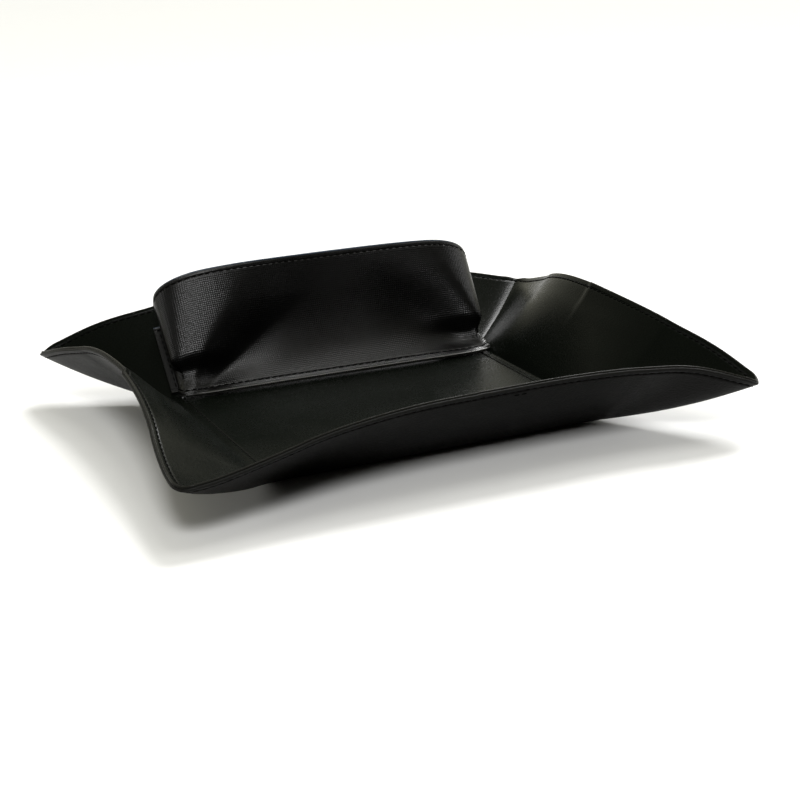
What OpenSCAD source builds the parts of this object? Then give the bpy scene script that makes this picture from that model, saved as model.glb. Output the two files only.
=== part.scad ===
// Leather valet tray with a standing band along its back wall.
// Millimetres. The origin is on the table under the middle of the base, +X along the tray, +Y to its back.
// Every leather part is a flat cut-out that one function folds up, so a place on the tray is a flat point
// [p, q] on the unfolded leather plus a height above the seam between the outer leather and the lining.

/* [Tray] */
// Length of the flat base between the side creases
base_l = 140; // [100:1:200]
// Depth of the flat base between the front and back creases
base_d = 111; // [90:1:160]
// Width of each wall along the leather, from crease to rim
wall_w = 47; // [40:0.5:60]
// Corner radius of the base
base_r = 4; // [3:0.5:10]
// Radius that rounds the tip of each ear
tip_r = 8; // [4:0.5:14]

/* [Lean] */
// Slope of the front wall at its middle, in degrees above the table
front_lean = 42; // [34:1:60]
// Slope of the back wall at its middle
back_lean = 47; // [40:1:64]
// Slope of the side walls at their middle
side_lean = 50; // [34:1:64]
// Slope of the folded ears along their lowest line
ear_lean = 15; // [12:1:26]
// How far along the rim the fold of an ear reaches, in wall widths
ear_spread = 0.8; // [0.5:0.05:1.1]
// How much each wall curls up between crease and rim, in degrees
wall_curl = 9; // [4:1:20]

/* [Leather] */
// Thickness of the outer leather
outer_t = 1.1; // [0.8:0.1:2]
// Thickness of the lining
lining_t = 0.9; // [0.6:0.1:1.6]
// Thickness of the leather panel under the base
bottom_t = 0.8; // [0.6:0.1:1.6]
// Distance of the bottom panel's edge from the creases
bottom_in = 3; // [2:0.5:8]

/* [Boards] */
// Thickness of the board in the base
board_t = 1.2; // [0.8:0.1:2]
// Thickness of the boards in the walls
wall_board_t = 0.6; // [0.4:0.1:1]
// Free play between a wall board and each leather
board_gap = 0.03; // [0.02:0.01:0.1]
// Free play between the base board's edge and the bends
board_in = 0.25; // [0:0.05:1]

/* [Band] */
// Height of the band in its middle, along the leather
band_h = 54; // [40:1:60]
// Slope of the band from upright, in degrees
band_tilt = 28; // [15:1:35]
// Width of the band between the outer edges of its tabs, at the crease
band_w = 134; // [90:1:134]
// How far the upper front corners stand out past those edges
band_flare = 3.5; // [0:0.5:6]
// How much each tab leans in towards the middle over its height
tab_in = 1; // [0:0.5:6]
// Height of the tabs up the back wall
tab_h = 33; // [20:1:36]
// Width of the flange that is sewn to the wall
tab_w = 6; // [5:0.5:9]
// Distance from the back crease to the band's front edge
band_fwd = 11; // [7:0.5:18]
// How far the middle of the band's face is hollow
band_hollow = 6; // [0:0.5:8]
// Thickness of the band's leather
band_leather_t = 0.9; // [0.6:0.1:1.4]
// Thickness of the band's stiffener
band_core_t = 0.5; // [0.3:0.1:1]
// Thickness of the band's lining
band_lining_t = 0.7; // [0.5:0.1:1.2]
// Gap between the band's lower edge and the tray's floor
band_lift = 0.4; // [0.2:0.1:2]

/* [Stitching] */
// Length of one stitch from hole to hole
stitch_l = 3; // [2:0.25:5]
// Thickness of the thread
thread_d = 0.5; // [0.3:0.05:0.8]
// Distance of every seam from its edge
seam_in = 2.3; // [1.5:0.1:4]
// Distance of the base's seam from the bends
base_seam_in = 0.5; // [0.2:0.1:3]

/* [Hidden] */

in_l = base_l / 2 - base_r;        // half lengths of the creases' straight stretches
in_d = base_d / 2 - base_r;
rim = wall_w + base_r;             // the rim's distance past those stretches
crease = 2.5;                      // half width of the bend at a crease
bend_start = base_r - crease;      // where that bend starts, past the straight stretches
ref_z = bottom_t + outer_t;        // height of the outer leather's upper face over the table
floor_z = ref_z + board_t + lining_t;
step = 0.05;                       // step of the slopes that give the leather's normals
fold_power = 1.6;                  // how sharply the lean changes beside a fold
tip_power = 1.6;                   // how closely stations crowd at an ear's tip
rad = 180 / PI;

function mix(a, b, t) = a + (b - a) * t;
function turn(v, s) = [v.x * s.x, v.y * s.y, v.z];
function side(x) = x < 0 ? -1 : 1;

// ---- folding ----
// Slope of the leather where the rim is u wall widths from the nearest fold
function slope_at(middle, u) = mix(middle, ear_lean, exp(-pow(max(u, 0) / ear_spread, fold_power)));

// Straight line of the folded leather that a flat point lies on: start, azimuth, distance, slope
function ruling(p, q) =
    let (x = abs(p), y = abs(q), dx = x - in_l, dy = y - in_d, az = atan2(dy, dx),
         end_lean = q < 0 ? front_lean : back_lean)
    dx > 0 && dy > 0 ? [[in_l, in_d], az, norm([dx, dy]),
        slope_at(az < 45 ? side_lean : end_lean, 1 - tan(min(az, 90 - az)))]
    : dx > 0 ? [[in_l, y], 0, dx, slope_at(side_lean, 1 - dy / rim)]
    : dy > 0 ? [[x, in_d], 90, dy, slope_at(end_lean, 1 - dx / rim)]
    : [[x, y], 0, 0, ear_lean];

// Reach and height at a distance along such a line, which bends at the crease and then curls
function climb(dist, slope) =
    let (foot = slope - wall_curl / 2,
         bend = 2 * crease / foot * rad,
         curl = (wall_w - crease) / wall_curl * rad,
         past = dist - base_r - crease,
         w = past < 0 ? foot * (dist - bend_start) / (2 * crease) : foot + past / curl * rad)
    dist <= bend_start ? [dist, 0]
    : past < 0 ? [bend_start + bend * sin(w), bend * (1 - cos(w))]
    : [bend_start + bend * sin(foot) + curl * (sin(w) - sin(foot)),
       bend * (1 - cos(foot)) + curl * (cos(foot) - cos(w))];

function folded(p, q) =
    let (line = ruling(p, q), c = climb(line[2], line[3]))
    [side(p) * (line[0].x + c.x * cos(line[1])), side(q) * (line[0].y + c.x * sin(line[1])), ref_z + c.y];

function facing(p, q) =
    let (n = cross(folded(p + step, q) - folded(p - step, q), folded(p, q + step) - folded(p, q - step)))
    n / norm(n);

function skin(p, q, lift) = folded(p, q) + lift * facing(p, q);

// ---- the leather's flat outline and its grid ----
side_steps = 5;                    // stations along half a wall
ear_steps = 14;                    // stations around an ear, closer together at its tip
wall_rings = 4;                    // rings from the crease to the rim
bend_rings = 3;                    // rings across the crease
rings = bend_rings + wall_rings;
// Distance from a base corner's centre to a rounded outline, at an angle
function ear_reach(az, edge, r) =
    let (c = edge - r, d = c * (cos(az) + sin(az)), arc = d + sqrt(max(0, d * d - 2 * c * c + r * r)))
    arc * cos(az) > c && arc * sin(az) > c ? arc : edge / max(cos(az), sin(az));

// Stations of one quarter: flat start, azimuth, reach, and 1 on a wall or 0 on an ear
quarter = concat(
    [for (i = [0:side_steps - 1]) [in_l, in_d * (i + 0.5) / side_steps, 0, rim, 1]],
    [for (i = [0:ear_steps])
        let (x = 2 * i / ear_steps - 1, az = 45 + 45 * side(x) * pow(abs(x), tip_power))
        [in_l, in_d, az, ear_reach(az, rim, tip_r), i == 0 || i == ear_steps ? 1 : 0]],
    [for (i = [side_steps - 1:-1:0]) [in_l * (i + 0.5) / side_steps, in_d, 90, rim, 1]]);
per_quarter = len(quarter);
stations = 4 * per_quarter;

// Flat point of a station at ring k, in its own quarter
function flat_point(i, k) =
    let (part = floor(i / per_quarter),
         j = i % per_quarter,
         s = quarter[part % 2 == 0 ? j : per_quarter - 1 - j],
         d = k <= bend_rings ? bend_start + 2 * crease * k / bend_rings
             : mix(base_r + crease, s[3], (k - bend_rings) / wall_rings),
         sx = part == 0 || part == 3 ? 1 : -1,
         sy = part < 2 ? 1 : -1)
    [sx * (s[0] + d * cos(s[2])), sy * (s[1] + d * sin(s[2])), s[4]];

// Room between the two leathers: for the base board, then the wall boards, and none at the rim and ears
function room(k, wall) = k == rings ? 0 : max(wall * wall_board_t, board_t * (1 - k / 2));

function layer(base_lift, follows) =
    [for (k = [0:rings]) for (i = [0:stations - 1])
        let (f = flat_point(i, k)) skin(f.x, f.y, base_lift + (follows ? room(k, f.z) : 0))];

// Closed shell between a lower and an upper layer of the whole tray
module tray_shell(low, high) {
    n = stations;
    top = n * (rings + 1);
    mid = 2 * top;
    polyhedron(concat(low, high, [[0, 0, low[0].z], [0, 0, high[0].z]]), concat(
        [for (i = [0:n - 1]) [mid, i, (i + 1) % n]],
        [for (i = [0:n - 1]) [mid + 1, top + (i + 1) % n, top + i]],
        [for (k = [0:rings - 1]) for (i = [0:n - 1]) let (a = k * n + i, b = k * n + (i + 1) % n)
            each [[a, a + n, b], [b, a + n, b + n]]],
        [for (k = [0:rings - 1]) for (i = [0:n - 1])
            let (a = top + k * n + i, b = top + k * n + (i + 1) % n)
            each [[a, b, a + n], [b, b + n, a + n]]],
        [for (i = [0:n - 1]) let (a = rings * n + i, b = rings * n + (i + 1) % n)
            each [[a, top + a, b], [b, top + a, top + b]]]));
}

// Closed sheet between two grids of rows by columns
module sheet(low, high) {
    rows = len(low);
    cols = len(low[0]);
    up = rows * cols;
    edge = concat([for (j = [0:cols - 2]) j], [for (i = [0:rows - 2]) i * cols + cols - 1],
        [for (j = [cols - 1:-1:1]) (rows - 1) * cols + j], [for (i = [rows - 1:-1:1]) i * cols]);
    polyhedron(concat([for (r = low) each r], [for (r = high) each r]), concat(
        [for (i = [0:rows - 2]) for (j = [0:cols - 2]) let (a = i * cols + j)
            each [[a, a + 1, a + cols], [a + 1, a + cols + 1, a + cols]]],
        [for (i = [0:rows - 2]) for (j = [0:cols - 2]) let (a = up + i * cols + j)
            each [[a, a + cols, a + 1], [a + 1, a + cols, a + cols + 1]]],
        [for (i = [0:len(edge) - 1]) let (a = edge[i], b = edge[(i + 1) % len(edge)])
            each [[a, up + a, b], [b, up + a, up + b]]]));
}

// Flat rounded plate centred on the base
module plate(l, d, r, t) {
    linear_extrude(t) {
        square([l - 2 * r, d], center = true);
        square([l, d - 2 * r], center = true);
        for (x = [-1, 1], y = [-1, 1]) translate([x * (l / 2 - r), y * (d / 2 - r)]) circle(r, $fn = 48);
    }
}

// ---- tray ----
module bottom_panel() {
    color("#17150f") plate(base_l - 2 * bottom_in, base_d - 2 * bottom_in, base_r, bottom_t);
}

module outer_leather() {
    color("#1c1b17") tray_shell(layer(-outer_t, false), layer(0, false));
}

module base_board() {
    inset = 2 * (crease + board_in);
    color("#8a8174") translate([0, 0, ref_z]) plate(base_l - inset, base_d - inset, bend_start, board_t);
}

module lining() {
    color("#26261f") tray_shell(layer(0, true), layer(lining_t, true));
}

// Board between the leathers of one wall, from one station to another
module wall_board(from, to) {
    ks = [bend_rings + 1:rings - 1];
    low = [for (k = ks) [for (i = [from:to]) let (f = flat_point(i % stations, k))
        skin(f.x, f.y, board_gap)]];
    high = [for (k = ks) [for (i = [from:to]) let (f = flat_point(i % stations, k))
        skin(f.x, f.y, room(k, f.z) - board_gap)]];
    color("#8a8174") sheet(low, high);
}

module right_board() {
    wall_board(stations - side_steps, stations + side_steps - 1);
}

module back_board() {
    wall_board(per_quarter - side_steps, per_quarter + side_steps - 1);
}

module left_board() {
    wall_board(2 * per_quarter - side_steps, 2 * per_quarter + side_steps - 1);
}

module front_board() {
    wall_board(3 * per_quarter - side_steps, 3 * per_quarter + side_steps - 1);
}

// ---- seams ----
hole = 0.1;                        // share of a stitch that is hidden in the hole at each of its ends
// Row of separate stitches along a list of points
module stitches(points) {
    for (i = [0:len(points) - 2]) {
        run = points[i + 1] - points[i];
        length = norm(run);
        translate(mix(points[i], points[i + 1], hole))
            rotate([0, acos(run.z / length), atan2(run.y, run.x)])
                cylinder(h = (1 - 2 * hole) * length, d = thread_d, $fn = 16);
    }
}

module seam(points) {
    color("#0c0c0b") stitches(points);
}

// Flat points along a line, one stitch apart
function flat_row(a, b) =
    let (n = round(norm(b - a) / stitch_l))
    [for (i = [0:n]) mix(a, b, i / n)];

// Flat points of a rounded rectangle, one stitch apart, from its right side round to its start
function flat_loop(l, d, r) =
    let (x = l / 2, y = d / 2, n = max(2, round(r * PI / 2 / stitch_l)),
         corner = function(cx, cy, from) [for (i = [1:n - 1]) let (t = from + 90 * i / n)
             [cx + r * cos(t), cy + r * sin(t)]])
    concat(flat_row([x, r - y], [x, y - r]), corner(x - r, y - r, 0),
        flat_row([x - r, y], [r - x, y]), corner(r - x, y - r, 90),
        flat_row([-x, y - r], [-x, r - y]), corner(r - x, r - y, 180),
        flat_row([r - x, -y], [x - r, -y]), corner(x - r, r - y, 270), [[x, r - y]]);

thread_gap = 0.25;                 // room under a stitch for the flats of the folded leather
on_lining = lining_t + thread_d / 2 + thread_gap;

module rim_thread() {
    l = base_l + 2 * (wall_w - seam_in);
    d = base_d + 2 * (wall_w - seam_in);
    seam([for (f = flat_loop(l, d, tip_r - seam_in)) skin(f.x, f.y, on_lining)]);
}

module base_thread() {
    inset = 2 * (base_r - bend_start + base_seam_in);
    height = ref_z + board_t + on_lining;
    seam([for (f = flat_loop(base_l - inset, base_d - inset, bend_start)) [f.x, f.y, height]]);
}

// ---- band ----
band_t = band_leather_t + band_core_t + band_lining_t;
flange_gap = 0.15;                 // room between the flange and the lining
on_wall = lining_t + wall_board_t + band_t / 2 + flange_gap;
foot_z = floor_z + band_lift + band_t / 2;
top_y = base_d / 2 - band_fwd + band_h * sin(band_tilt);
top_z = foot_z + band_h * cos(band_tilt);
band_x = band_w / 2;

// Half of the band's control points at its lower and its upper edge, from the flange to the middle
flange_foot = base_d / 2 + 2;
foot_points = [
    skin(-band_x, flange_foot, on_wall),
    skin(tab_w - band_x, flange_foot, on_wall),
    [-band_x, base_d / 2 - band_fwd * 0.3, foot_z],
    [-band_x, base_d / 2 - band_fwd, foot_z],
    [7 - band_x, base_d / 2 - band_fwd, foot_z],
    [-band_x * 0.5, base_d / 2 - band_fwd, foot_z],
    [0, base_d / 2 - band_fwd, foot_z]];
head_points = [
    skin(tab_in - band_x, flange_foot + tab_h, on_wall),
    skin(tab_in + tab_w - band_x, flange_foot + tab_h, on_wall),
    [-band_x, top_y + 4, mix(foot_z, top_z, 0.62)],
    [-band_x - band_flare, top_y + 3, mix(foot_z, top_z, 0.82)],
    [7 - band_x, top_y - 2, mix(foot_z, top_z, 0.98)],
    [-band_x * 0.54, top_y - 4, top_z + 1],
    [0, top_y, top_z]];

// Point of a clamped quadratic spline through half the band, mirrored for the other half; t from -1 to 1
function knot(points, i) = i < 0 ? 2 * points[0] - points[1]
    : i < len(points) ? points[i] : turn(points[2 * len(points) - 2 - i], [-1, 1, 1]);
function along(points, t) =
    let (f = (1 - abs(t)) * (len(points) - 1), i = min(floor(f + 0.5), len(points) - 1), u = f + 0.5 - i,
         s = (1 - u) * (1 - u) / 2 * knot(points, i - 1) + (0.5 + u * (1 - u)) * knot(points, i)
             + u * u / 2 * knot(points, i + 1))
    turn(s, [-side(t), 1, 1]);

corner_t = 1 - 3 / (len(foot_points) - 1);     // where the band's limb turns into its face

// Middle surface of the band at t along it and v up it
function band_at(t, v) =
    let (depth = band_hollow * (1 - pow(min(abs(t) / corner_t, 1), 3)) * sin(180 * v))
    mix(along(foot_points, t), along(head_points, t), v) + depth * [0, cos(band_tilt), -sin(band_tilt)];

function band_facing(t, v) =
    let (a = min(t + 0.002, 1), b = max(t - 0.002, -1), c = min(v + 0.01, 1), d = max(v - 0.01, 0),
         n = cross(band_at(a, v) - band_at(b, v), band_at(t, c) - band_at(t, d)))
    n / norm(n);

function band_skin(t, v, lift) = band_at(t, v) + lift * band_facing(t, v);

// Places along the band, closer together around its folds
half_ts = [for (f = [0:0.4:3.6]) 1 - f / (len(foot_points) - 1), 0.33, 0.2, 0.1];
band_ts = concat([for (t = half_ts) -t], [0], [for (i = [len(half_ts) - 1:-1:0]) half_ts[i]]);
band_rows = 6;

function band_grid(lift) = [for (i = [0:band_rows]) [for (t = band_ts) band_skin(t, i / band_rows, lift)]];

core_low = band_lining_t - band_t / 2;
core_high = core_low + band_core_t;

module band_leather() {
    color("#12110f") sheet(band_grid(core_high), band_grid(band_t / 2));
}

module band_core() {
    color("#8a8174") sheet(band_grid(core_low), band_grid(core_high));
}

module band_lining() {
    color("#20201b") sheet(band_grid(-band_t / 2), band_grid(core_low));
}

// The same points along a line again, one stitch apart
function evenly(points) =
    let (last = len(points) - 1,
         far = [for (i = 0, d = 0; i <= last; d = d + norm(points[min(i + 1, last)] - points[i]),
             i = i + 1) d],
         axis = function(j, d) lookup(d, [for (i = [0:last]) [far[i], points[i][j]]]),
         total = far[last],
         n = round(total / stitch_l))
    [for (i = [0:n]) [for (j = [0:2]) axis(j, total * i / n)]];

band_thread_gap = 0.12;            // room under a stitch for the flats of the band
on_band = band_t / 2 + thread_d / 2 + band_thread_gap;
seam_v = seam_in / band_h;
face_t = 1 - 1.5 / (len(foot_points) - 1);     // where the flange turns into the band's limb

module band_row(v) {
    seam(evenly([for (i = [-40:40]) band_skin(face_t * i / 40, v, on_band)]));
}

module band_top_thread() {
    band_row(1 - seam_v);
}

module band_foot_thread() {
    band_row(seam_v);
}

tab_seam = 1 - seam_in / tab_w / (len(foot_points) - 1);
tab_seam_ends = [0.06, 0.9];       // where a tab's seam starts and stops, up the tab
tack_v = 0.95;                     // where the bar tack lies, up the tab
tack_ends = [0.4, 1.6];            // where it starts and stops, in seam distances from the tab's edge

module tab_thread(end) {
    seam(evenly([for (i = [0:12])
        band_skin(end * tab_seam, mix(tab_seam_ends[0], tab_seam_ends[1], i / 12), on_band)]));
}

module left_tab_thread() {
    tab_thread(-1);
}

module right_tab_thread() {
    tab_thread(1);
}

// Short bar of thread across the top of a tab
module bar_tack(end) {
    seam([for (t = tack_ends) band_skin(end * mix(1, tab_seam, t), tack_v, on_band)]);
}

module left_bar_tack() {
    bar_tack(-1);
}

module right_bar_tack() {
    bar_tack(1);
}

bottom_panel();
outer_leather();
base_board();
front_board();
back_board();
left_board();
right_board();
lining();
rim_thread();
base_thread();
band_leather();
band_core();
band_lining();
band_top_thread();
band_foot_thread();
left_tab_thread();
right_tab_thread();
left_bar_tack();
right_bar_tack();
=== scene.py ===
import math
import bpy
import numpy as np
from mathutils import Matrix, Vector


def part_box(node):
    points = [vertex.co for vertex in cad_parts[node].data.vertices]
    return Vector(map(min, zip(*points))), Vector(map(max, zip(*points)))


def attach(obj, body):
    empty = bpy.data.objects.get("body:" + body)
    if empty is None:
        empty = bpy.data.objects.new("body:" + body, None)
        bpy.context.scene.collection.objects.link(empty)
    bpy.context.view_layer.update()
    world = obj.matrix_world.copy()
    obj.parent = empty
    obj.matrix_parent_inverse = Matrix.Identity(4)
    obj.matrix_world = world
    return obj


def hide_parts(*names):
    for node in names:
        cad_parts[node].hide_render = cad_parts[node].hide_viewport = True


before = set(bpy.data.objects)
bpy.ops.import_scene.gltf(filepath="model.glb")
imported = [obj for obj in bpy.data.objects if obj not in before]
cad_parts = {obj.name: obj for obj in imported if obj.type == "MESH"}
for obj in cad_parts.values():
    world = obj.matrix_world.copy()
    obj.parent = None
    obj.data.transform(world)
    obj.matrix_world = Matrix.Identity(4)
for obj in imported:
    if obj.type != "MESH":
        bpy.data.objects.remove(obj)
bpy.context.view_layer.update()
mm = 0.001                      # the shapes below are worked out in millimetres

# the camera stands in front, a little to the left
view = {
    "aim": (0.01375, 0.01242, 0.0),     # point on the table that the camera looks at
    "turn": 22.98,                      # degrees around from the front
    "height": 17.70,                    # degrees above the table
    "roll": -2.73,
    "distance": 0.7467,
    "lens": 81.55,
    "sensor": 36,
}


def setCamera():
    turn, height, roll = (math.radians(view[k]) for k in ("turn", "height", "roll"))
    level = math.cos(height)
    ahead = Vector((math.sin(turn) * level, math.cos(turn) * level, -math.sin(height)))
    right = Vector((math.cos(turn), -math.sin(turn), 0))
    up = right.cross(ahead)
    rightRolled = right * math.cos(roll) + up * math.sin(roll)
    upRolled = up * math.cos(roll) - right * math.sin(roll)
    data = bpy.data.cameras.new("camera")
    data.lens = view["lens"]
    data.sensor_width = view["sensor"]
    camera = bpy.data.objects.new("camera", data)
    bpy.context.collection.objects.link(camera)
    axes = Matrix((rightRolled, upRolled, -ahead)).transposed()
    place = Vector(view["aim"]) - ahead * view["distance"]
    camera.matrix_world = Matrix.Translation(place) @ axes.to_4x4()
    bpy.context.scene.camera = camera


studio = {
    # light from above and from behind, each fading in between two heights of the sky, and from the rest of it
    "ceiling": 0.54, "ceilingFrom": (0.45, 0.9),
    "behind": 0.85, "behindFrom": (-0.25, 0.6),
    "rest": 0.015,
    "tint": (1.0, 0.98, 0.80),
    "sunFrom": (0.55, 0.52, 0.80), "sunStrength": 5.4, "sunAngle": 24,
    # name: place, where it points, width, height, watts
    "lights": {
        "front": ((-0.33, -0.82, 0.88), (0, 0, 0.04), 0.34, 0.34, 12.5),
        "left": ((-1.25, 0.30, 0.55), (0.06, 0, 0.02), 0.8, 0.6, 4.0),
        "top": ((0.25, -0.02, 1.15), (0, 0, 0.02), 0.5, 0.5, 4.5),
        "right": ((1.02, -0.16, 0.32), (0, 0, 0.04), 0.45, 0.35, 2.4),
    },
}


def setLights():
    world = bpy.data.worlds.new("studio")
    world.use_nodes = True
    nodes, links = world.node_tree.nodes, world.node_tree.links
    split = nodes.new("ShaderNodeSeparateXYZ")
    links.new(nodes.new("ShaderNodeTexCoord").outputs["Generated"], split.inputs[0])
    parts = []
    for axis, key in (("Z", "ceiling"), ("Y", "behind")):
        part = nodes.new("ShaderNodeMapRange")
        part.interpolation_type = "SMOOTHSTEP"
        part.inputs["From Min"].default_value, part.inputs["From Max"].default_value = studio[key + "From"]
        part.inputs["To Min"].default_value = studio["rest"]
        part.inputs["To Max"].default_value = studio[key]
        links.new(split.outputs[axis], part.inputs["Value"])
        parts.append(part)
    total = nodes.new("ShaderNodeMath")
    total.operation = "MAXIMUM"
    for k, part in enumerate(parts):
        links.new(part.outputs["Result"], total.inputs[k])
    background = nodes["Background"]
    background.inputs["Color"].default_value = (*studio["tint"], 1)
    links.new(total.outputs[0], background.inputs["Strength"])
    bpy.context.scene.world = world
    sunData = bpy.data.lights.new("sun", "SUN")
    sunData.energy = studio["sunStrength"]
    sunData.angle = math.radians(studio["sunAngle"])
    sun = bpy.data.objects.new("sun", sunData)
    bpy.context.collection.objects.link(sun)
    sun.rotation_euler = Vector(studio["sunFrom"]).to_track_quat("Z", "Y").to_euler()
    for name, (place, target, width, height, watts) in studio["lights"].items():
        data = bpy.data.lights.new(name, "AREA")
        data.shape = "RECTANGLE"
        data.size = width
        data.size_y = height
        data.energy = watts
        light = bpy.data.objects.new(name, data)
        bpy.context.collection.objects.link(light)
        light.location = place
        light.rotation_euler = (Vector(target) - Vector(place)).to_track_quat("-Z", "Y").to_euler()


setCamera()
setLights()
bpy.context.scene.view_settings.view_transform = "Standard"
print("camera and lights set")


# an output of a material's node; sums with it make more nodes
class Wire:
    def __init__(self, finish, socket):
        self.finish = finish
        self.socket = socket

    def maths(self, operation, first, second):
        return self.finish.node("ShaderNodeMath", {"operation": operation}, {0: first, 1: second})

    def __add__(self, other): return self.maths("ADD", self, other)
    def __radd__(self, other): return self.maths("ADD", other, self)
    def __sub__(self, other): return self.maths("SUBTRACT", self, other)
    def __rsub__(self, other): return self.maths("SUBTRACT", other, self)
    def __mul__(self, other): return self.maths("MULTIPLY", self, other)
    def __rmul__(self, other): return self.maths("MULTIPLY", other, self)


# one material, with short names for the nodes that it needs
class Finish:
    def __init__(self, name):
        self.material = bpy.data.materials.new(name)
        self.material.use_nodes = True
        self.tree = self.material.node_tree
        self.shader = self.tree.nodes["Principled BSDF"]

    # any node: its type, its settings, the values or wires of its sockets, and which output to take
    def node(self, kind, settings=None, sockets=None, output=0):
        made = self.tree.nodes.new(kind)
        for key, value in (settings or {}).items():
            setattr(made, key, value)
        for key, value in (sockets or {}).items():
            self.feed(made.inputs[key], value)
        return Wire(self, made.outputs[output])

    def feed(self, socket, value):
        if isinstance(value, Wire):
            self.tree.links.new(value.socket, socket)
        elif hasattr(value, "__len__") and len(value) == 3 and socket.type == "RGBA":
            socket.default_value = (*value, 1)
        else:
            socket.default_value = value

    def set(self, **sockets):
        for key, value in sockets.items():
            self.feed(self.shader.inputs[key.replace("_", " ")], value)

    def place(self):
        return self.node("ShaderNodeTexCoord", output="Object")

    def noise(self, where, scale, detail=2.0, roughness=0.5, output="Fac"):
        return self.node("ShaderNodeTexNoise", None,
                         {"Vector": where, "Scale": scale, "Detail": detail, "Roughness": roughness}, output)

    def cells(self, where, scale):
        return self.node("ShaderNodeTexVoronoi", {"feature": "SMOOTH_F1"},
                         {"Vector": where, "Scale": scale, "Randomness": 1.0}, "Distance")

    def ramp(self, factor, low, high):
        return self.node("ShaderNodeMapRange", {"interpolation_type": "SMOOTHSTEP"},
                         {"Value": factor, "From Min": low, "From Max": high})

    def blend(self, factor, first, second):
        return self.node("ShaderNodeMix", {"data_type": "RGBA"}, {0: factor, 6: first, 7: second}, 2)

    def read(self, name):
        return self.node("ShaderNodeAttribute", {"attribute_name": name}, output="Fac")

    def bump(self, height, distance, strength=1.0, under=None):
        sockets = {"Height": height, "Distance": distance, "Strength": strength}
        if under is not None:
            sockets["Normal"] = under
        return self.node("ShaderNodeBump", None, sockets, "Normal")


# leathers: base colour, lighter worn colour, colour of the cut edge (worn, and lighter as a painted highlight),
# gloss, size and depth of the grain in mm
leathers = {
    "outerLeather": {"deep": (0.0007, 0.0007, 0.0006), "worn": (0.0019, 0.0019, 0.0016),
                     "edge": (0.005, 0.005, 0.0045), "rough": 0.44, "specular": 0.04,
                     "grain": 0.75, "relief": 0.10},
    "liningLeather": {"deep": (0.0010, 0.0014, 0.0009), "worn": (0.0026, 0.0034, 0.0024),
                      "edge": (0.006, 0.006, 0.005), "rough": 0.27, "specular": 0.03,
                      "grain": 0.60, "relief": 0.07},
    "bottomLeather": {"deep": (0.0080, 0.0072, 0.0056), "worn": (0.016, 0.014, 0.011),
                      "edge": (0.02, 0.018, 0.014), "rough": 0.80, "specular": 0.15,
                      "grain": 0.45, "relief": 0.12},
}
# what the three have in common: scales per metre, pores for each pebble of the grain, crease depth in mm
leatherMarks = {
    "pores": 2.4, "creases": 260, "creaseDepth": 0.12, "clouds": 28, "rubs": 75, "rubbed": (0.5, 0.78),
}


def leatherFinish(name):
    s = {**leathers[name], **leatherMarks}
    finish = Finish(name)
    where = finish.place()
    pebbles = finish.cells(where, 1 / (s["grain"] * mm))
    pores = finish.noise(where, s["pores"] / (s["grain"] * mm), 3)
    creases = finish.noise(where, s["creases"], 4, 0.6)
    clouds = finish.noise(where, s["clouds"], 3)
    rubbed = finish.ramp(finish.noise(where, s["rubs"], 4, 0.65), *s["rubbed"])
    rim = finish.read("rim")
    grain = pebbles * 0.7 + pores * 0.3
    tone = clouds * 0.5 + grain * 0.25 + rubbed * 0.25
    leather = finish.blend(tone, s["deep"], s["worn"])
    # the edges take the lighter edge colour: real wear, and a painted highlight where the rounded edge catches
    # the light
    colour = finish.blend(finish.ramp(rim, 0.25, 1.0), leather, s["edge"])
    rough = s["rough"] + grain * 0.16 + clouds * 0.10 - 0.12 - rubbed * 0.05
    folds = finish.bump(creases, s["creaseDepth"] * mm, 0.5)
    finish.set(Base_Color=colour, Roughness=rough, Specular_IOR_Level=s["specular"],
               Normal=finish.bump(grain, s["relief"] * mm, 0.9, folds))
    return finish.material


# the band's leather: pitch and depth of the pressed ridges in mm, and how strong each set of ridges is
crossGrain = {
    "deep": (0.0002, 0.0002, 0.00017), "worn": (0.0006, 0.00058, 0.00048),
    "topEdge": (0.028, 0.040, 0.060), "footEdge": (0.030, 0.030, 0.027),
    "pitch": 0.88, "relief": 0.10, "drift": 0.7, "upright": 0.42, "level": 0.58,
    "rough": 0.29, "tabRough": 0.4, "specular": 0.22,
}


# pressed cross-hatched leather: two sets of fine ridges that waver and break up
def bandFinish():
    s = crossGrain
    finish = Finish("bandLeather")
    where = finish.place()
    flat = finish.node("ShaderNodeUVMap", {"uv_map": "flat"})
    waver = finish.noise(flat, 160, 3, 0.6, "Color")
    drift = finish.node("ShaderNodeVectorMath", {"operation": "SCALE"}, {0: waver, "Scale": s["drift"] * mm})
    bent = finish.node("ShaderNodeVectorMath", {"operation": "ADD"}, {0: flat, 1: drift})
    scale = 2 * math.pi / 20 / (s["pitch"] * mm)        # the texture's own units for one ridge each pitch
    ridges = []
    for direction, strength in (("X", s["upright"]), ("Y", s["level"])):
        wave = finish.node("ShaderNodeTexWave", {"bands_direction": direction, "wave_profile": "SIN"},
                           {"Vector": bent, "Scale": scale, "Distortion": 1.2, "Detail": 2.0,
                            "Detail Scale": 2.0}, "Fac")
        ridges.append(wave * strength)
    breaks = finish.noise(bent, 620, 3, 0.6)
    hatch = (ridges[0] + ridges[1]) * (0.55 + breaks * 0.9)
    clouds = finish.noise(where, 40, 3)
    top = finish.read("top")
    foot = finish.read("foot")
    leather = finish.blend(finish.ramp(hatch, 0.35, 1.0) * 0.7 + clouds * 0.3, s["deep"], s["worn"])
    painted = finish.blend(top, leather, s["topEdge"])
    colour = finish.blend(foot, painted, s["footEdge"])
    rough = s["rough"] + clouds * 0.14 - hatch * 0.10 + finish.read("tab") * s["tabRough"]
    finish.set(Base_Color=colour, Roughness=rough, Specular_IOR_Level=s["specular"],
               Normal=finish.bump(hatch, s["relief"] * mm, 0.9))
    return finish.material


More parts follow.
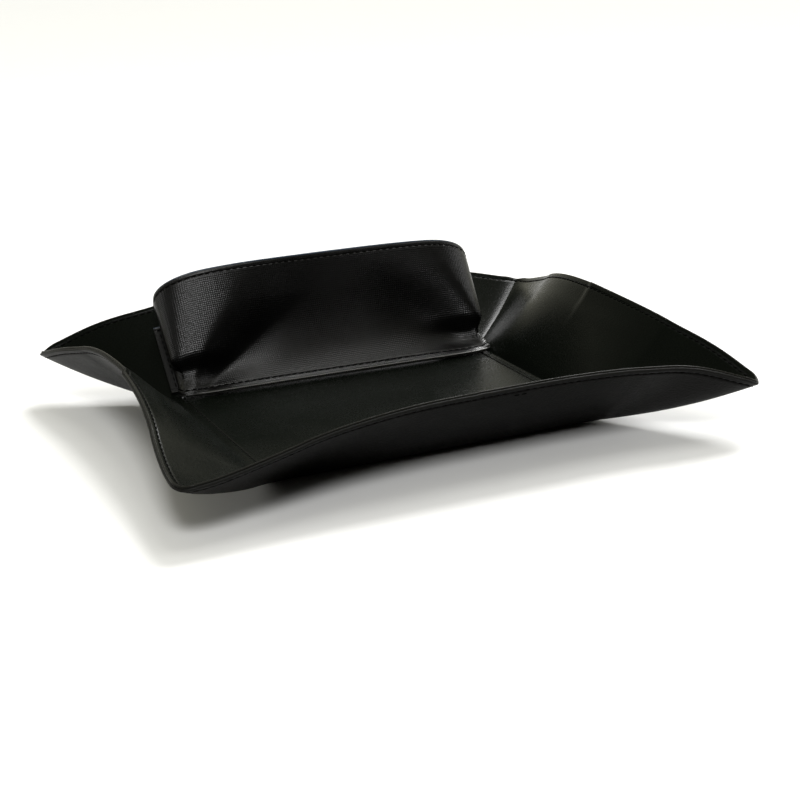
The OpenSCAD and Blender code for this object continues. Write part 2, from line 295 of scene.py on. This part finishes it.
threadLook = {"deep": (0.0005, 0.0005, 0.0004), "worn": (0.0018, 0.0017, 0.0014), "relief": 0.06}


def threadFinish():
    finish = Finish("thread")
    where = finish.place()
    plies = finish.noise(where, 2600, 2)
    wax = finish.noise(where, 90, 2)
    colour = finish.blend(plies * 0.6 + wax * 0.4, threadLook["deep"], threadLook["worn"])
    finish.set(Base_Color=colour, Roughness=0.60 + plies * 0.25, Specular_IOR_Level=0.03,
               Normal=finish.bump(plies, threadLook["relief"] * mm, 0.8))
    return finish.material


boardLook = {
    "dark": (0.20, 0.165, 0.12), "light": (0.34, 0.29, 0.22), "specks": (0.12, 0.10, 0.08), "relief": 0.08,
}


def boardFinish():
    finish = Finish("board")
    where = finish.place()
    fibres = finish.noise(where, 900, 5, 0.7)
    specks = finish.ramp(finish.noise(where, 1500, 2), 0.62, 0.7)
    paper = finish.blend(fibres, boardLook["dark"], boardLook["light"])
    finish.set(Base_Color=finish.blend(specks, paper, boardLook["specks"]), Roughness=0.8 + fibres * 0.15,
               Specular_IOR_Level=0.2, Normal=finish.bump(fibres, boardLook["relief"] * mm, 0.6))
    return finish.material


table = {"size": 30, "dark": (0.52, 0.52, 0.515), "light": (0.54, 0.54, 0.535)}


def floorFinish():
    finish = Finish("floor")
    grain = finish.noise(finish.place(), 60, 4)
    finish.set(Base_Color=finish.blend(grain, table["dark"], table["light"]), Roughness=0.9,
               Specular_IOR_Level=0.1)
    return finish.material


finishes = {name: leatherFinish(name) for name in leathers}
finishes["bandLeather"] = bandFinish()
finishes["thread"] = threadFinish()
finishes["board"] = boardFinish()
finishes["floor"] = floorFinish()
print("finishes made")


# ends any edit and selects nothing, before a new piece is made
def clearSelection():
    if bpy.context.object and bpy.context.object.mode != "OBJECT":
        bpy.ops.object.mode_set(mode="OBJECT")
    bpy.ops.object.select_all(action="DESELECT")


def smoothly(value, low, high):
    t = np.clip((value - low) / (high - low), 0, 1)
    return t * t * (3 - 2 * t)


# rounds the edge of a sheet: share of its half thickness at a distance from the edge
def edgeRound(distance, radius, power=2.3):
    return (1 - (1 - np.clip(distance / radius, 0, 1)) ** power) ** (1 / power)


def dress(piece, material, slot, *replaced):
    piece.data.materials.clear()
    piece.data.materials.append(finishes[material])
    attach(piece, "root")
    if replaced:
        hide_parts(*replaced)


# A sheet of leather or board: a flat grid and its copy become the two faces, which meet along the edges.
# low and high give their points in mm for a column and a row, marks are numbers kept on the points.
def makeSheet(name, low, high, marks=None, flat=None, holes=False):
    columns, rows = low.shape[:2]
    clearSelection()
    bpy.ops.mesh.primitive_grid_add(x_subdivisions=columns - 1, y_subdivisions=rows - 1, size=1)
    piece = bpy.context.object
    piece.name = piece.data.name = name
    bpy.ops.object.mode_set(mode="EDIT")
    bpy.ops.mesh.select_all(action="SELECT")
    bpy.ops.mesh.duplicate()
    bpy.ops.object.mode_set(mode="OBJECT")
    mesh = piece.data
    count = columns * rows
    points = np.empty(len(mesh.vertices) * 3)
    mesh.vertices.foreach_get("co", points)
    points = points.reshape(-1, 3)
    column = np.rint((points[:, 0] + 0.5) * (columns - 1)).astype(int)
    row = np.rint((points[:, 1] + 0.5) * (rows - 1)).astype(int)
    points[:count] = low[column[:count], row[:count]] * mm
    points[count:] = high[column[count:], row[count:]] * mm
    mesh.vertices.foreach_set("co", points.ravel())
    for key, values in (marks or {}).items():
        mark = mesh.attributes.new(key, "FLOAT", "POINT")
        mark.data.foreach_set("value", values[column, row].ravel())
    for spare in list(mesh.uv_layers):
        mesh.uv_layers.remove(spare)
    if flat is not None:
        corners = np.empty(len(mesh.loops), dtype=int)
        mesh.loops.foreach_get("vertex_index", corners)
        layer = mesh.uv_layers.new(name="flat")
        layer.data.foreach_set("uv", (flat[column[corners], row[corners]] * mm).ravel())
    bpy.ops.object.mode_set(mode="EDIT")
    bpy.ops.mesh.select_all(action="SELECT")
    bpy.ops.mesh.remove_doubles(threshold=0.008 * mm)
    if holes:
        bpy.ops.mesh.select_all(action="SELECT")
        bpy.ops.mesh.fill_holes(sides=0)
    bpy.ops.mesh.select_all(action="SELECT")
    bpy.ops.mesh.normals_make_consistent(inside=False)
    bpy.ops.object.mode_set(mode="OBJECT")
    bpy.ops.object.shade_smooth_by_angle(angle=math.radians(60))
    return piece


# how the tray's leathers are folded: lengths in mm, slopes in degrees above the table;
# pairs are left and right or front and back, fours are the ears: front left, front right, back left, back right
bottomIn = 3.0                                  # the bottom panel stops short of the creases
fold = {
    "halfLong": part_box("bottom_panel")[1].x / mm + bottomIn,
    "halfDeep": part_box("bottom_panel")[1].y / mm + bottomIn,
    "seamHeight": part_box("base_board")[0].z / mm,
    "cornerRadius": 4.0, "creaseHalf": 2.5, "wallWidth": 47.2, "tipRadius": 8.0,
    "curl": 8.7, "sharpness": 1.61,
    "sideLean": np.array((45.5, 55.6)), "endLean": np.array((41.5, 46.2)),
    "earLean": np.array((15.6, 15.3, 14.0, 13.8)),
    "sideReach": np.array((1.01, 0.82, 0.73, 1.02)), "endReach": np.array((0.87, 0.54, 0.61, 0.79)),
    "wave": 0.22, "ripple": 0.12, "waveFull": 26,        # unevenness of the walls, and from where it is full
}
innerLong = fold["halfLong"] - fold["cornerRadius"]
innerDeep = fold["halfDeep"] - fold["cornerRadius"]
rim = fold["wallWidth"] + fold["cornerRadius"]
bendStart = fold["cornerRadius"] - fold["creaseHalf"]
bendEnd = fold["cornerRadius"] + fold["creaseHalf"]
boardThick, wallBoardThick = 1.2, 0.6
outerThick, liningThick = 1.1, 0.9
floorHeight = fold["seamHeight"] + boardThick + liningThick
seamIn = 2.3                                    # seams run this far in from an edge
edgeWearAndHighlightIn = 0.8                                    # and the edges are worn, and painted lighter as a highlight, about this far in


# where a point of the flat leather comes to lie; p runs left to right and q front to back, from its middle
def foldedPoint(p, q):
    x, y = np.abs(p), np.abs(q)
    ear = (p >= 0) * 1 + (q >= 0) * 2
    dx, dy = x - innerLong, y - innerDeep
    onEar = (dx > 0) & (dy > 0)
    turn = np.where(onEar, np.arctan2(dy, np.maximum(dx, 1e-9)), np.where(dx > 0, 0, math.pi / 2))
    distance = np.where(onEar, np.hypot(dx, dy), np.maximum(dx, dy))
    onSide = turn <= math.pi / 4
    away = np.where(onEar, 1 - np.tan(np.minimum(turn, math.pi / 2 - turn)),
                    1 - np.minimum(dx, dy) / np.maximum(distance, 0.5))
    middle = np.where(onSide, fold["sideLean"][(p >= 0) * 1], fold["endLean"][(q >= 0) * 1])
    reach = np.where(onSide, fold["sideReach"][ear], fold["endReach"][ear])
    low = fold["earLean"][ear]
    slope = middle + (low - middle) * np.exp(-(np.maximum(away, 0) / reach) ** fold["sharpness"])
    foot = np.radians(slope - fold["curl"] / 2)
    bend = 2 * fold["creaseHalf"] / foot
    curve = (fold["wallWidth"] - fold["creaseHalf"]) / math.radians(fold["curl"])
    past = distance - bendEnd
    angle = np.where(past < 0, foot * (distance - bendStart) / (bendEnd - bendStart), foot + past / curve)
    out = np.where(past < 0, bendStart + bend * np.sin(angle),
                   bendStart + bend * np.sin(foot) + curve * (np.sin(angle) - np.sin(foot)))
    rise = np.where(past < 0, bend * (1 - np.cos(angle)),
                    bend * (1 - np.cos(foot)) + curve * (np.cos(foot) - np.cos(angle)))
    level = distance <= bendStart
    out = np.where(level, np.maximum(distance, 0), out)
    rise = np.where(level, 0, rise)
    wave = fold["wave"] * np.sin(p / 19 + 1.3) * np.sin(q / 23 + 0.4)
    wave = wave + fold["ripple"] * np.sin(p / 8.5 + q / 12)
    rise = rise + wave * smoothly(distance, bendEnd, fold["waveFull"])
    startX, startY = np.minimum(x, innerLong), np.minimum(y, innerDeep)
    return np.stack((np.where(p < 0, -1, 1) * (startX + out * np.cos(turn)),
                     np.where(q < 0, -1, 1) * (startY + out * np.sin(turn)),
                     fold["seamHeight"] + rise), -1)


# point at a height over the seam between the two leathers, and the way the leather faces there
def onLeather(p, q, lift=0.0):
    p, q = np.asarray(p, float), np.asarray(q, float)
    step = 0.05
    across = foldedPoint(p + step, q) - foldedPoint(p - step, q)
    upward = foldedPoint(p, q + step) - foldedPoint(p, q - step)
    facing = np.cross(across, upward)
    facing /= np.linalg.norm(facing, axis=-1, keepdims=True)
    return foldedPoint(p, q) + np.asarray(lift)[..., None] * facing, facing


# how far it is across an ear, in each direction, to a rim with a rounded corner
def earReach(turn, edge, radius):
    c = edge - radius
    d = c * (np.cos(turn) + np.sin(turn))
    arc = d + np.sqrt(np.maximum(0, d * d - 2 * c * c + radius * radius))
    rounded = (arc * np.cos(turn) > c) & (arc * np.sin(turn) > c)
    return np.where(rounded, arc, edge / np.maximum(np.cos(turn), np.sin(turn)))


# stations all round the leather: where its line starts, its direction, and how far it is from the nearest ear
def aroundTray(sideSteps=27, earSteps=76, endSteps=35):
    ends = (np.arange(endSteps)[::-1] + 0.5) / endSteps
    sides = (np.arange(sideSteps) + 0.5) / sideSteps
    sweep = np.linspace(-1, 1, earSteps + 1)
    ear = math.pi / 4 * (1 + np.sign(sweep) * np.abs(sweep) ** 1.5)
    startX = np.concatenate((np.full(sideSteps, innerLong), np.full(earSteps + 1, innerLong), innerLong * ends))
    startY = np.concatenate((innerDeep * sides, np.full(earSteps + 1, innerDeep), np.full(endSteps, innerDeep)))
    turn = np.concatenate((np.zeros(sideSteps), ear, np.full(endSteps, math.pi / 2)))
    fromEar = np.concatenate((innerDeep * (1 - sides), np.zeros(earSteps + 1), innerLong * (1 - ends)))
    quarter = np.stack((startX, startY, turn, fromEar), -1)
    loop = []
    for sx, sy, part in ((1, 1, quarter), (-1, 1, quarter[::-1]), (-1, -1, quarter), (1, -1, quarter[::-1])):
        loop.append(np.column_stack((part, np.full(len(part), sx), np.full(len(part), sy))))
    loop = np.concatenate(loop)
    return np.concatenate((loop, loop[:1]))


# rows from the base out to the rim: inner ones by distance, the wall by share, the rim by how far in it is
trayRows = {
    "inner": [0.08, 0.22, 0.4, 0.6, 0.75, 0.88, 1.0, 1.12, 1.25, 1.4, 1.5]
             + [bendStart + 2 * fold["creaseHalf"] * k / 12 for k in range(1, 13)],
    "wall": [k / 20 for k in range(1, 20)],
    "rim": [5, 4.3, 3.7, 3.25, 2.95, 2.7, 2.5, 2.3, 2.1, 1.9, 1.65, 1.3, 0.95, 0.65, 0.42, 0.27, 0.15,
            0.06, 0.015, 0],
    "edgeRadius": 0.42,
}
rimGroove = {"deep": 0.30, "half": 0.42}
baseGroove = {"deep": 0.35, "half": 0.35, "at": 1.0}


def trayGrid():
    stations = aroundTray()
    turn = stations[:, 2]
    widest = trayRows["rim"][0]
    wallTop = earReach(turn, rim - widest, fold["tipRadius"] - widest)
    reaches = [np.full(len(stations), d) for d in trayRows["inner"]]
    reaches += [bendEnd + (wallTop - bendEnd) * t for t in trayRows["wall"]]
    reaches += [earReach(turn, rim - e, fold["tipRadius"] - e) for e in trayRows["rim"]]
    reach = np.stack(reaches, -1)
    farIn = np.full(len(trayRows["inner"]) + len(trayRows["wall"]), widest + 3.0)
    fromEdge = np.concatenate((farIn, trayRows["rim"]))
    p = stations[:, 4:5] * (stations[:, 0:1] + reach * np.cos(turn)[:, None])
    q = stations[:, 5:6] * (stations[:, 1:2] + reach * np.sin(turn)[:, None])
    return p, q, reach, np.broadcast_to(fromEdge, reach.shape), np.broadcast_to(stations[:, 3:4], reach.shape)


# room between the leathers for the boards: the base board, and a thinner board in each wall;
# it grows from nothing to the board's thickness, or back, over these distances in mm
roomEnds = {"base": (bendStart, 6.0), "wallFoot": (5.0, 9.0), "wallTop": (rim - 13, rim - 7),
            "ear": (0.0, 34.0)}


def boardRoom(reach, fromEar):
    base = boardThick * (1 - smoothly(reach, *roomEnds["base"]))
    wall = wallBoardThick * smoothly(reach, *roomEnds["wallFoot"]) * (1 - smoothly(reach, *roomEnds["wallTop"]))
    return np.maximum(base, wall * smoothly(fromEar, *roomEnds["ear"]))


def makeTrayLeathers():
    p, q, reach, fromEdge, fromEar = trayGrid()
    groove = rimGroove["deep"] * np.exp(-((fromEdge - seamIn) / rimGroove["half"]) ** 2)
    low = baseGroove["deep"] * np.exp(-((reach - baseGroove["at"]) / baseGroove["half"]) ** 2)
    full = edgeRound(fromEdge, trayRows["edgeRadius"])
    # lighter edges: real wear, and partly a painted highlight
    worn = np.exp(-(fromEdge / edgeWearAndHighlightIn) ** 2)
    room = boardRoom(reach, fromEar)
    half = outerThick / 2
    outer = makeSheet("outerLeather", onLeather(p, q, -half - half * full + groove)[0],
                      onLeather(p, q, -half + half * full)[0], {"rim": worn}, holes=True)
    dress(outer, "outerLeather", "outer_leather", "outer_leather")
    half = liningThick / 2
    lining = makeSheet("trayLining", onLeather(p, q, room + half - half * full)[0],
                       onLeather(p, q, room + half + half * full - groove - low)[0],
                       {"rim": worn}, holes=True)
    dress(lining, "liningLeather", "lining_leather", "lining")
    return outer, lining


outerLeather, lining = makeTrayLeathers()
print("tray leathers folded")


# thin boards between the leathers of the walls, in mm
wallBoards = {"inset": 2.0, "low": 10.0, "high": 8.5, "gap": 0.04, "thinnest": 0.02, "edgeRadius": 0.15,
              "columns": 60, "rows": 24}


def makeWallBoards():
    s = wallBoards
    low, high = fold["cornerRadius"] + s["low"], rim - s["high"]
    u = np.concatenate(([0, 0.001], np.linspace(0.02, 0.98, s["columns"]), [0.999, 1]))
    v = np.concatenate(([0, 0.002], np.linspace(0.03, 0.97, s["rows"]), [0.998, 1]))
    u, v = np.meshgrid(u, v, indexing="ij")
    for name, side in (("frontBoard", -1), ("backBoard", 1), ("leftBoard", -1), ("rightBoard", 1)):
        isEnd = name in ("frontBoard", "backBoard")
        half = (innerLong if isEnd else innerDeep) - s["inset"]
        alongWall = (2 * u - 1) * half
        out = low + (high - low) * v
        p, q = (alongWall, side * (innerDeep + out)) if isEnd else (side * (innerLong + out), alongWall)
        room = boardRoom(out, half + s["inset"] - np.abs(alongWall))
        edge = np.minimum(np.minimum(u, 1 - u) * 2 * half, np.minimum(v, 1 - v) * (high - low))
        thick = np.maximum(room - 2 * s["gap"], s["thinnest"]) * edgeRound(edge, s["edgeRadius"]) / 2
        board = makeSheet(name, onLeather(p, q, room / 2 - thick)[0], onLeather(p, q, room / 2 + thick)[0])
        dress(board, "board", "board", name.replace("Board", "_board"))


makeWallBoards()
print("wall boards placed")


# stitches in mm; long is the share of the pitch that shows, a plump below 1 fills out the ends of a stitch,
# sink is how deep its ends go, and the rises are how high its middle lies over the floor of a groove
thread = {"pitch": 3.0, "thick": 0.5, "long": 0.80, "plump": 0.55, "slant": 0.10, "sink": 0.42,
          "rimRise": 0.22, "rise": 0.20}
# the end of the rim's thread, sewn in below the front rim
backtack = {"from": 15.0, "to": 21.0, "below": 2.4, "proud": 0.05, "pitch": 3.2, "thick": 0.65}
baseSeam = {"inset": 3.0, "cornerMore": 0.5}


# a row of stitches: one rounded stitch, repeated by an array, then bent along the seam's line
def makeStitches(name, path, facing, pitch=None, thick=None):
    path, facing = np.asarray(path, float), np.asarray(facing, float)
    run = np.concatenate(([0], np.cumsum(np.linalg.norm(np.diff(path, axis=0), axis=1))))
    pitch = pitch or thread["pitch"]
    thick = thick or thread["thick"]
    count = max(1, round(run[-1] / pitch))
    clearSelection()
    bpy.ops.mesh.primitive_uv_sphere_add(segments=8, ring_count=6, radius=0.5, rotation=(0, math.pi / 2, 0))
    piece = bpy.context.object
    piece.name = piece.data.name = name
    bpy.ops.object.transform_apply(location=False, rotation=True, scale=False)
    if count > 1:
        array = piece.modifiers.new("row", "ARRAY")
        array.use_relative_offset = False
        array.use_constant_offset = True
        array.constant_offset_displace = (1, 0, 0)
        array.count = count
        bpy.ops.object.modifier_apply(modifier="row")
    mesh = piece.data
    points = np.empty(len(mesh.vertices) * 3)
    mesh.vertices.foreach_get("co", points)
    points = points.reshape(-1, 3)
    which = np.clip(np.rint(points[:, 0]), 0, count - 1)
    local = points[:, 0] - which
    around = np.maximum(np.hypot(points[:, 1], points[:, 2]), 1e-9)
    fuller = around ** thread["plump"] * 0.5 ** (1 - thread["plump"]) / around
    at = (which + 0.5 + local * thread["long"]) / count * run[-1]
    spine = np.stack([np.interp(at, run, path[:, k]) for k in range(3)], -1)
    up = np.stack([np.interp(at, run, facing[:, k]) for k in range(3)], -1)
    up /= np.linalg.norm(up, axis=1, keepdims=True)
    ahead = np.stack([np.interp(at + 0.05, run, path[:, k]) - np.interp(at - 0.05, run, path[:, k])
                      for k in range(3)], -1)
    aside = np.cross(up, ahead)
    aside /= np.linalg.norm(aside, axis=1, keepdims=True)
    height = points[:, 2] * thick * fuller - thread["sink"] * (2 * np.abs(local)) ** 4
    sideways = points[:, 1] * thick * fuller + thread["slant"] * 2 * local
    moved = (spine + up * height[:, None] + aside * sideways[:, None]) * mm
    mesh.vertices.foreach_set("co", moved.ravel())
    for spare in list(mesh.uv_layers):
        mesh.uv_layers.remove(spare)
    bpy.ops.object.mode_set(mode="EDIT")
    bpy.ops.mesh.select_all(action="SELECT")
    bpy.ops.mesh.normals_make_consistent(inside=False)
    bpy.ops.object.mode_set(mode="OBJECT")
    bpy.ops.object.shade_smooth()
    return piece


# flat line at a distance in from the rim, all the way round
def flatLoop(inset, long, deep, radius):
    x, y = long - inset, deep - inset
    r = max(radius - inset, 0.6)
    corners = []
    for cx, cy, begin in ((x - r, y - r, 0), (r - x, y - r, 90), (r - x, r - y, 180), (x - r, r - y, 270)):
        t = np.radians(begin + np.linspace(0, 90, 25))
        corners.append(np.stack((cx + r * np.cos(t), cy + r * np.sin(t)), -1))
    loop = np.concatenate(corners + [corners[0][:1]])
    dense = []
    for a, b in zip(loop[:-1], loop[1:]):
        steps = max(1, int(np.linalg.norm(b - a) / 0.8))
        dense.append(a + (b - a) * (np.arange(steps) / steps)[:, None])
    return np.concatenate(dense + [loop[-1:]])


def makeTraySeams():
    long, deep = fold["halfLong"] + fold["wallWidth"], fold["halfDeep"] + fold["wallWidth"]
    line = flatLoop(seamIn, long, deep, fold["tipRadius"])
    line = np.roll(line[:-1], 40, axis=0)       # the row's two ends meet on the right wall
    line = np.concatenate((line, line[:1]))
    rise = thread["rimRise"] - rimGroove["deep"]
    inside, facing = onLeather(line[:, 0], line[:, 1], liningThick + rise)
    outside = onLeather(line[:, 0], line[:, 1], -outerThick - rise)[0]
    dress(makeStitches("rimStitchesInside", inside, facing), "thread", "thread", "rim_thread")
    dress(makeStitches("rimStitchesOutside", outside, -facing), "thread", "thread")
    s = backtack
    p = np.linspace(s["from"], s["to"], 12)
    back, facing = onLeather(p, np.full(len(p), seamIn + s["below"] - deep), -outerThick - s["proud"])
    dress(makeStitches("rimBacktack", back, -facing, pitch=s["pitch"], thick=s["thick"]), "thread", "thread")
    base = flatLoop(baseSeam["inset"], fold["halfLong"], fold["halfDeep"],
                    fold["cornerRadius"] + baseSeam["cornerMore"])
    height = floorHeight - baseGroove["deep"] + thread["rise"]
    path = np.column_stack((base, np.full(len(base), height)))
    upward = np.broadcast_to((0.0, 0.0, 1.0), path.shape)
    dress(makeStitches("baseStitches", path, upward), "thread", "thread", "base_thread")


makeTraySeams()
print("tray seams stitched")


# the standing band: lengths in mm, the tilt in degrees, heights on its face as shares of how tall it is,
# and places along it counted in control points from an end
band = {
    "leather": 0.9, "core": 0.5, "lining": 0.7, "tall": 54.0, "lift": 0.4, "tilt": 28.0, "wallGap": 0.15,
    "flangeFoot": 57.5, "flangeTall": 33.5, "flangeWide": 6.2, "edgeRadius": 0.42,
    "coreIn": 1.2, "coreGap": 0.02, "pinch": (0.6, 1.6),
    # the folds beside the corners, left and right: place at the foot, and how much further in at the head
    "crest": ((3.50, 1.50), (2.70, 1.75)), "floor": ((4.10, 2.70), (4.10, 1.80)),
    "hollow": 6.5, "hollowRise": 0.66, "valley": 2.2, "valleyWide": 0.55, "valleyEnds": (0, 1.2),
    "dimple": 3.4, "dimpleTop": 0.36, "dimpleFades": (0, 0.15), "dimpleFoot": (0, 0.17),
    "dimpleFrom": (1.7, 2.4), "dimpleTo": (3.7, 5.0),
    "spacing": 0.85, "faceRows": 46,
    "edgeRows": [0, 0.015, 0.06, 0.15, 0.27, 0.42, 0.8, 1.2],
    "grooveRows": [1.5, 1.7, 1.9, 2.1, 2.3, 2.5, 2.7, 2.95, 3.3, 3.9],
    "grooveDeep": 0.28, "grooveHalf": 0.42,
    "topPaint": 0.5, "footPaint": 0.28, "tabLook": (5.0, 8.0),
}
# where its seams start and end: past the flange, up the flange, and a thicker bar at the flange's head
bandSeams = {"pastFlange": 2.5, "up": (0.05, 0.90), "bar": (0.9, 4.6), "barUp": 0.945, "barRise": 0.1,
             "barPitch": 4.0, "barThick": 0.75}
bandThick = band["leather"] + band["core"] + band["lining"]
footHeight = floorHeight + band["lift"] + bandThick / 2
headHeight = footHeight + band["tall"] * math.cos(math.radians(band["tilt"]))


# the band's shape: thirteen points along its foot and along its head, left flange to right flange
def bandControls():
    onWall = liningThick + wallBoardThick + bandThick / 2 + band["wallGap"]
    q0, q1 = band["flangeFoot"], band["flangeFoot"] + band["flangeTall"]
    z, h = footHeight, headHeight

    def wall(p, q):
        return list(onLeather(p, q, onWall)[0])

    def up(share):
        return z + (h - z) * share

    foot = [wall(-70.0, q0), wall(-64.0, q0), [-67.5, 54.0, z], [-67.6, 47.8, z], [-60.0, 47.2, z],
            [-33.0, 46.2, z], [0.0, 45.0, z], [34.0, 43.2, z], [62.0, 41.9, z], [71.4, 42.6, z],
            [70.6, 50.5, z], wall(64.0, q0), wall(70.0, q0)]
    head = [wall(-69.0, q1), wall(-63.2, q1), [-66.5, 77.0, up(0.60)], [-70.5, 74.0, up(0.82)],
            [-59.0, 68.5, up(0.98)], [-36.0, 65.5, h + 1.2], [0.0, 69.8, h], [40.0, 65.5, h + 0.2],
            [63.0, 65.5, up(0.965)], [74.0, 70.5, up(0.79)], [69.0, 76.5, up(0.60)],
            wall(63.2, q1), wall(69.0, q1)]
    return np.array(foot, float), np.array(head, float)


bandFoot, bandHead = bandControls()
bandLast = len(bandFoot) - 1
bandCentre = bandLast / 2


# clamped quadratic spline through the control points, t from 0 to one less than their number
def spline(points, t):
    padded = np.concatenate(([2 * points[0] - points[1]], points, [2 * points[-1] - points[-2]]))
    i = np.minimum(np.floor(t + 0.5).astype(int), len(points) - 1)
    u = (t + 0.5 - i)[..., None]
    return (1 - u) ** 2 / 2 * padded[i] + (0.5 + u * (1 - u)) * padded[i + 1] + u * u / 2 * padded[i + 2]


def bandRuled(t, v):
    return spline(bandFoot, t) * (1 - v[..., None]) + spline(bandHead, t) * v[..., None]


def facingOf(surface, t, v):
    step = 0.01
    a, b = np.minimum(t + step, bandLast), np.maximum(t - step, 0)
    c, d = np.minimum(v + step, 1), np.maximum(v - step, 0)
    facing = np.cross(surface(a, v) - surface(b, v), surface(t, c) - surface(t, d))
    return facing / np.linalg.norm(facing, axis=-1, keepdims=True)


# how far the band is pressed in: hollow along its face, a valley and a low dimple beside each corner
def bandDepth(t, v):
    s = band
    inside = bandCentre - np.abs(t - bandCentre)

    def foldPlace(key):
        left, right = (foot + more * v for foot, more in s[key])
        return np.where(t < bandCentre, left, right)

    crest, floor = foldPlace("crest"), foldPlace("floor")
    rise = np.sin(math.pi * np.clip(v, 0, 1) ** s["hollowRise"])
    hollow = s["hollow"] * smoothly(inside, crest, np.minimum(floor, bandCentre)) * rise
    dip = s["valley"] * np.exp(-((inside - floor) / (s["valleyWide"] * (floor - crest))) ** 2) * rise * (1 - v)
    dip = dip * smoothly(bandCentre - inside, *s["valleyEnds"])
    tuck = smoothly(s["dimpleTop"] - v, *s["dimpleFades"]) * smoothly(v, *s["dimpleFoot"])
    tuck = tuck * smoothly(inside, *s["dimpleFrom"])
    return hollow + dip + s["dimple"] * tuck * (1 - smoothly(inside, *s["dimpleTo"]))


def bandMiddle(t, v):
    return bandRuled(t, v) - bandDepth(t, v)[..., None] * facingOf(bandRuled, t, v)


def onBand(t, v, lift=0.0):
    facing = facingOf(bandMiddle, t, v)
    return bandMiddle(t, v) + np.asarray(lift)[..., None] * facing, facing


# places along the band, an even distance apart, with closer ones where given
def bandPlaces(spacing, edges):
    t = np.linspace(0, bandLast, 1601)
    line = bandMiddle(t, np.full(len(t), 0.5))
    run = np.concatenate(([0], np.cumsum(np.linalg.norm(np.diff(line, axis=0), axis=1))))
    middle = np.linspace(edges[-1], run[-1] - edges[-1], round(run[-1] / spacing))
    places = np.concatenate((edges[:-1], middle, run[-1] - np.array(edges[:-1])[::-1]))
    return np.interp(places, run, t), places, run[-1]


def makeBand():
    s = band
    t, places, total = bandPlaces(s["spacing"], s["edgeRows"])
    foot = np.array(s["edgeRows"] + s["grooveRows"]) / s["tall"]
    rows = np.concatenate((foot, np.linspace(foot[-1], 1 - foot[-1], s["faceRows"])[1:-1], 1 - foot[::-1]))
    tt, vv = np.meshgrid(t, rows, indexing="ij")
    along = places[:, None] * np.ones_like(vv)
    fromEnd = np.minimum(along, total - along)
    fromFoot, fromHead = vv * s["tall"], (1 - vv) * s["tall"]
    fromLong = np.minimum(fromFoot, fromHead)
    fromEdge = np.minimum(fromLong, fromEnd)
    full = edgeRound(fromEdge, s["edgeRadius"])
    groove = sum(np.exp(-((far - seamIn) / s["grooveHalf"]) ** 2) for far in (fromLong, fromEnd))
    groove = np.minimum(s["grooveDeep"] * groove, s["grooveDeep"])
    flat = np.stack((along, fromFoot), -1)
    # the lining's edges get the lighter edge colour too: wear, and a painted highlight
    backMarks = {"rim": np.exp(-(fromEdge / edgeWearAndHighlightIn) ** 2)}
    frontMarks = {"top": np.exp(-(fromHead / s["topPaint"]) ** 4),
                  "foot": np.exp(-(fromFoot / s["footPaint"]) ** 4),
                  "tab": 1 - smoothly(fromEnd, *s["tabLook"])}
    base = -bandThick / 2
    pinch = s["core"] / 2 * (1 - smoothly(fromEdge, *s["pinch"]))       # the leathers meet past the core's edge
    low, high = base + s["lining"], bandThick / 2 - s["leather"]
    half = s["lining"] / 2
    back = makeSheet("bandLining", onBand(tt, vv, base + half - half * full + pinch)[0],
                     onBand(tt, vv, base + half + half * full + pinch)[0], backMarks, flat)
    dress(back, "liningLeather", "lining_leather", "band_lining")
    half = s["leather"] / 2
    front = makeSheet("bandLeather", onBand(tt, vv, high + half - half * full - pinch)[0],
                      onBand(tt, vv, high + half + half * full - groove - pinch)[0], frontMarks, flat)
    dress(front, "bandLeather", "band_leather", "band_leather")
    share = s["coreIn"] / s["tall"]
    inner = s["coreIn"] + along / total * (total - 2 * s["coreIn"])
    tc, vc = np.interp(inner, places, t), share + (1 - 2 * share) * vv
    half = (high - low) / 2 - s["coreGap"]
    core = makeSheet("bandCore", onBand(tc, vc, (low + high) / 2 - half * full)[0],
                     onBand(tc, vc, (low + high) / 2 + half * full)[0])
    dress(core, "board", "board", "band_core")
    return back, front


bandLining, bandLeather = makeBand()
print("band shaped")


def makeBandSeams():
    s = bandSeams
    lift = bandThick / 2 - band["grooveDeep"] + thread["rise"]
    t, places, total = bandPlaces(0.8, [0, 1])
    seam = seamIn / band["tall"]
    ends = band["flangeWide"] + s["pastFlange"]
    faceStart, faceEnd = np.interp((ends, total - ends), places, t)
    across = np.linspace(faceStart, faceEnd, 260)
    for name, v, node in (("bandTopStitches", 1 - seam, "band_top_thread"),
                          ("bandFootStitches", seam, "band_foot_thread")):
        path, facing = onBand(across, np.full(len(across), v), lift)
        dress(makeStitches(name, path, facing), "thread", "thread", node)
    up = np.linspace(*s["up"], 60)
    near, far = s["bar"]
    for side, place, barEnds in (("left", seamIn, (near, far)),
                                 ("right", total - seamIn, (total - far, total - near))):
        where = float(np.interp(place, places, t))
        path, facing = onBand(np.full(len(up), where), up, lift)
        dress(makeStitches(side + "TabStitches", path, facing), "thread", "thread", side + "_tab_thread")
        bar = np.interp(np.linspace(*barEnds, 12), places, t)
        path, facing = onBand(bar, np.full(len(bar), s["barUp"]), lift + s["barRise"])
        dress(makeStitches(side + "BarTack", path, facing, pitch=s["barPitch"], thick=s["barThick"]),
              "thread", "thread", side + "_bar_tack")


makeBandSeams()
print("band stitched")


# the bottom panel and the base board are the CAD ones
def dressCad():
    for node, material in (("bottom_panel", "bottomLeather"), ("base_board", "board")):
        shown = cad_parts[node]
        shown.data.materials.clear()
        shown.data.materials.append(finishes[material])


dressCad()


def makeFloor():
    clearSelection()
    bpy.ops.mesh.primitive_plane_add(size=table["size"], location=(0, 0, 0))
    floor = bpy.context.object
    floor.name = "floor"
    floor.data.materials.append(finishes["floor"])


makeFloor()
print("floor laid")


# the band's size as it was cut, before it was folded; it is worked out and not used further
def declareSheets():
    bandFlat = (bandPlaces(1, [0, 1])[2] * mm, band["tall"] * mm)


declareSheets()
